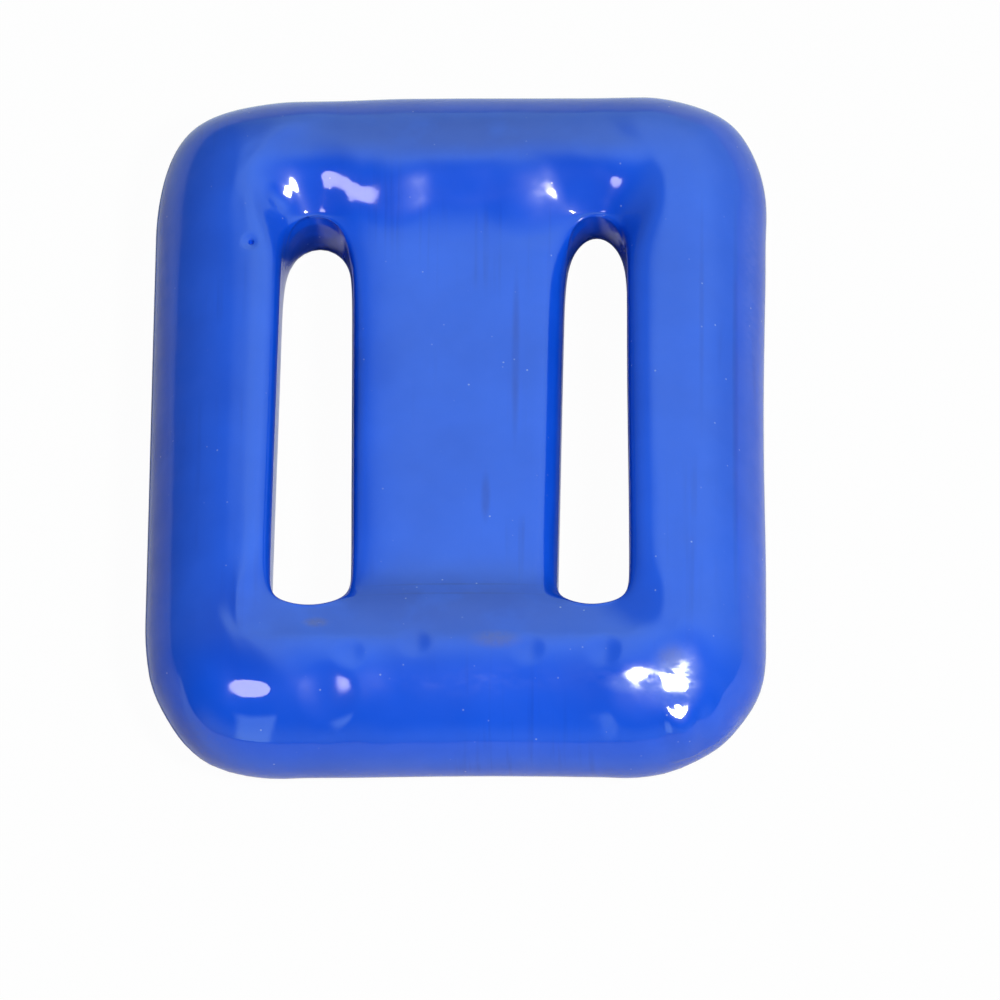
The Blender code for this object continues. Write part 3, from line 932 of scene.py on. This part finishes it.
class WEIGHT_OT_coat(bpy.types.Operator):
    """Build the vinyl coat, with its inside turned to the casting"""

    bl_idname = "diving_weight.coat"
    bl_label = "Vinyl coat"

    def execute(self, context):
        scene = context.scene
        inside = grow_surface(scene, scene.weight_block.coat, COAT_INSIDE_SMOOTHINGS)
        bmesh.ops.reverse_faces(inside, faces=inside.faces)
        outside = grow_surface(scene, 0, COAT_OUTSIDE_SMOOTHINGS)
        thin_back(outside, THIN_MESH_HEIGHTS)
        ripple(outside, scene.weight_marks)
        press(outside, DIMPLES)
        divide_round(outside, PINHOLE)
        press(outside, [PINHOLE])
        join_into(outside, inside)
        coat = new_object("dipped_vinyl_coat", outside)
        finish_piece(coat, "vinyl_coating", vinyl_material(scene))
        return {"FINISHED"}


class WEIGHT_OT_stage(bpy.types.Operator):
    """Build the floor, the room's light, the lamps and the camera"""

    bl_idname = "diving_weight.stage"
    bl_label = "Studio"

    def execute(self, context):
        scene = context.scene
        studio = scene.weight_studio
        scene.view_settings.view_transform = "Standard"
        bm = bmesh.new()
        bmesh.ops.create_circle(bm, cap_ends=True, segments=FLOOR_SIDES, radius=studio.floor_radius)
        bmesh.ops.translate(bm, verts=bm.verts, vec=(0, 0, -studio.floor_gap))
        floor = new_object("studio_floor", bm)
        floor.data.materials.append(floor_material(studio))
        add_room(scene)
        for lamp_name in ("left", "right"):
            add_lamp(scene, lamp_name)
        add_camera(scene)
        return {"FINISHED"}


def floor_material(studio):
    """A matt floor that looks white, and keeps a part of the shadows that fall on it."""
    made, tree, shader = new_material("pale floor")
    matt = {"Base Color": (*studio.floor_colour, 1.0), "Roughness": 1.0, "Specular IOR Level": 0.0}
    tree.feed(shader, matt)
    white = tree.add("Emission", {"Strength": 1.0})
    mirrored_white = tree.add("Emission", {"Color": (*studio.mirrored_colour, 1.0), "Strength": 1.0})
    rays = tree.add("LightPath")
    seen = tree.times(rays.outputs["Is Camera Ray"], studio.floor_whiteness)
    place = tree.add("SeparateXYZ", {0: tree.add("TexCoord").outputs["Object"]}).outputs
    across, along = place["X"], place["Y"]
    near = tree.ramp(along, -studio.near_reach, -studio.white_end, 0.0, studio.near_whiteness)
    near = tree.times(near, tree.ramp(along, -studio.white_end, -studio.white_start, 1.0, 0.0))
    far = tree.ramp(along, studio.white_start, studio.white_end, 0.0, studio.far_whiteness)
    right = tree.ramp(across, studio.right_start, studio.right_end, 0.0, studio.right_whiteness)
    around = tree.math("MAXIMUM", tree.math("MAXIMUM", near, far), right)
    mirrored = tree.times(rays.outputs["Is Glossy Ray"], around)
    mix = tree.add("MixShader", {0: mirrored, 1: shader.outputs[0], 2: mirrored_white.outputs[0]})
    mix = tree.add("MixShader", {0: seen, 1: mix.outputs[0], 2: white.outputs[0]})
    tree.feed(tree.nodes["Material Output"], {"Surface": mix.outputs[0]})
    return made


def add_room(scene):
    """The light of the room: bright behind the weight, dim on the camera's side and on the left."""
    studio = scene.weight_studio
    room = bpy.data.worlds.new("studio")
    scene.world = room
    room.use_nodes = True
    tree = NodeTree(room.node_tree)
    toward = tree.add("SeparateXYZ", {0: tree.add("TexCoord").outputs["Generated"]}).outputs

    def product(*fades):
        """Fades multiplied: for each the axis, where it starts and ends along it, and its value at both."""
        total = None
        for axis, *limits in fades:
            here = tree.ramp(toward[axis], *limits)
            total = here if total is None else tree.times(total, here)
        return total

    light = product(
        ("Y", -0.45, 0.5, studio.near_wall, studio.far_wall),
        ("X", -0.35, -0.05, studio.left_wall, 1.0),
        ("Z", 0.0, 0.7, studio.low_wall, 1.0),
    )
    band = product(("Y", -0.7, -0.3, 1.0, 0.0), ("Z", 0.1, 0.5, 1.0, 0.0))
    light = tree.math("MULTIPLY_ADD", band, studio.near_band, light)
    window = product(
        ("X", -0.46, -0.38, 0.0, 1.0),
        ("X", -0.16, -0.08, 1.0, 0.0),
        ("Z", 0.5, 0.6, 1.0, 0.0),
        ("Y", -0.6, -0.5, 1.0, 0.0),
    )
    light = tree.math("MULTIPLY_ADD", window, studio.window, light)
    rays = tree.add("LightPath").outputs
    fill = tree.ramp(rays["Is Diffuse Ray"], 0.0, 1.0, 1.0, studio.room_fill)
    light = tree.times(light, fill)
    seen = tree.math("MAXIMUM", rays["Is Camera Ray"], rays["Is Transmission Ray"])
    walls = tree.add("Background", {"Color": (*studio.room_colour, 1.0), "Strength": light})
    backdrop = tree.add("Background", {"Color": (1.0, 1.0, 1.0, 1.0), "Strength": 1.0})
    mix = tree.add("MixShader", {0: seen, 1: walls.outputs[0], 2: backdrop.outputs[0]})
    tree.feed(tree.nodes["World Output"], {"Surface": mix.outputs[0]})


def direction(turn, rise):
    """The direction from the weight, turned so far from the camera's side to +X, and raised so far."""
    return Vector((math.sin(turn) * math.cos(rise), -math.cos(turn) * math.cos(rise), math.sin(rise)))


def add_lamp(scene, side):
    """A round lamp, turned to the weight."""
    studio = scene.weight_studio
    settings = ("turn", "rise", "size", "glow", "colour")
    turn, rise, size, glow, tint = (getattr(studio, f"{side}_lamp_{name}") for name in settings)
    data = bpy.data.lights.new(side + " lamp", "AREA")
    data.shape = "DISK"
    data.size = size
    face_area = math.pi * size * size / 4
    data.energy = math.pi * face_area * glow
    data.color = tint
    lamp = bpy.data.objects.new(side + "_lamp", data)
    scene.collection.objects.link(lamp)
    toward = direction(turn, rise)
    lamp.location = toward * studio.lamp_distance
    lamp.rotation_euler = toward.to_track_quat("Z", "Y").to_euler()


def add_camera(scene):
    """The camera looks at the block from 60 degrees above the floor."""
    aim = Vector((0, 0, CAD_SIZE.z / 2))
    toward = direction(CAMERA_TURN, CAMERA_RISE)
    data = bpy.data.cameras.new("camera")
    data.sensor_width = SENSOR_WIDTH
    data.sensor_fit = "HORIZONTAL"
    data.lens = data.sensor_width * CAMERA_DISTANCE * PIXELS_PER_METRE / PICTURE_PIXELS
    data.shift_x = 0.5 - MIDDLE_ACROSS
    data.shift_y = 0.5 - MIDDLE_UP
    data.clip_end = CAMERA_REACH
    camera = bpy.data.objects.new("camera", data)
    scene.collection.objects.link(camera)
    turned = toward.to_track_quat("Z", "Y").to_matrix().to_4x4() @ Matrix.Rotation(CAMERA_ROLL, 4, "Z")
    camera.matrix_world = Matrix.Translation(aim + toward * CAMERA_DISTANCE) @ turned
    scene.camera = camera


class WEIGHT_PT_sidebar(bpy.types.Panel):
    """Lists the sizes and the pieces of the diving weight"""

    bl_idname = "WEIGHT_PT_sidebar"
    bl_label = "Diving weight"
    bl_space_type = "VIEW_3D"
    bl_region_type = "UI"
    bl_category = "Diving weight"

    def draw(self, context):
        for group_name in SETTINGS:
            group = getattr(context.scene, group_name)
            box = self.layout.box()
            for name in group.__annotations__:
                box.prop(group, name)
        for operator in OPERATORS:
            self.layout.operator(operator.bl_idname)


SETTINGS = {
    "weight_block": WeightBlockSizes,
    "weight_bridge": WeightBridgeSizes,
    "weight_bars": WeightBarSizes,
    "weight_slots": WeightSlotSizes,
    "weight_marks": WeightMarks,
    "weight_finish": WeightFinish,
    "weight_studio": WeightStudio,
}
OPERATORS = (WEIGHT_OT_casting, WEIGHT_OT_coat, WEIGHT_OT_stage)
CLASSES = (*SETTINGS.values(), *OPERATORS, WEIGHT_PT_sidebar)


def register():
    for kind in CLASSES:
        bpy.utils.register_class(kind)
    for name, group in SETTINGS.items():
        setattr(bpy.types.Scene, name, PointerProperty(type=group))


def unregister():
    for name in SETTINGS:
        delattr(bpy.types.Scene, name)
    for kind in reversed(CLASSES):
        bpy.utils.unregister_class(kind)


def main():
    register()
    bpy.ops.diving_weight.casting()
    bpy.ops.diving_weight.coat()
    bpy.ops.diving_weight.stage()


if __name__ == "__main__":
    main()
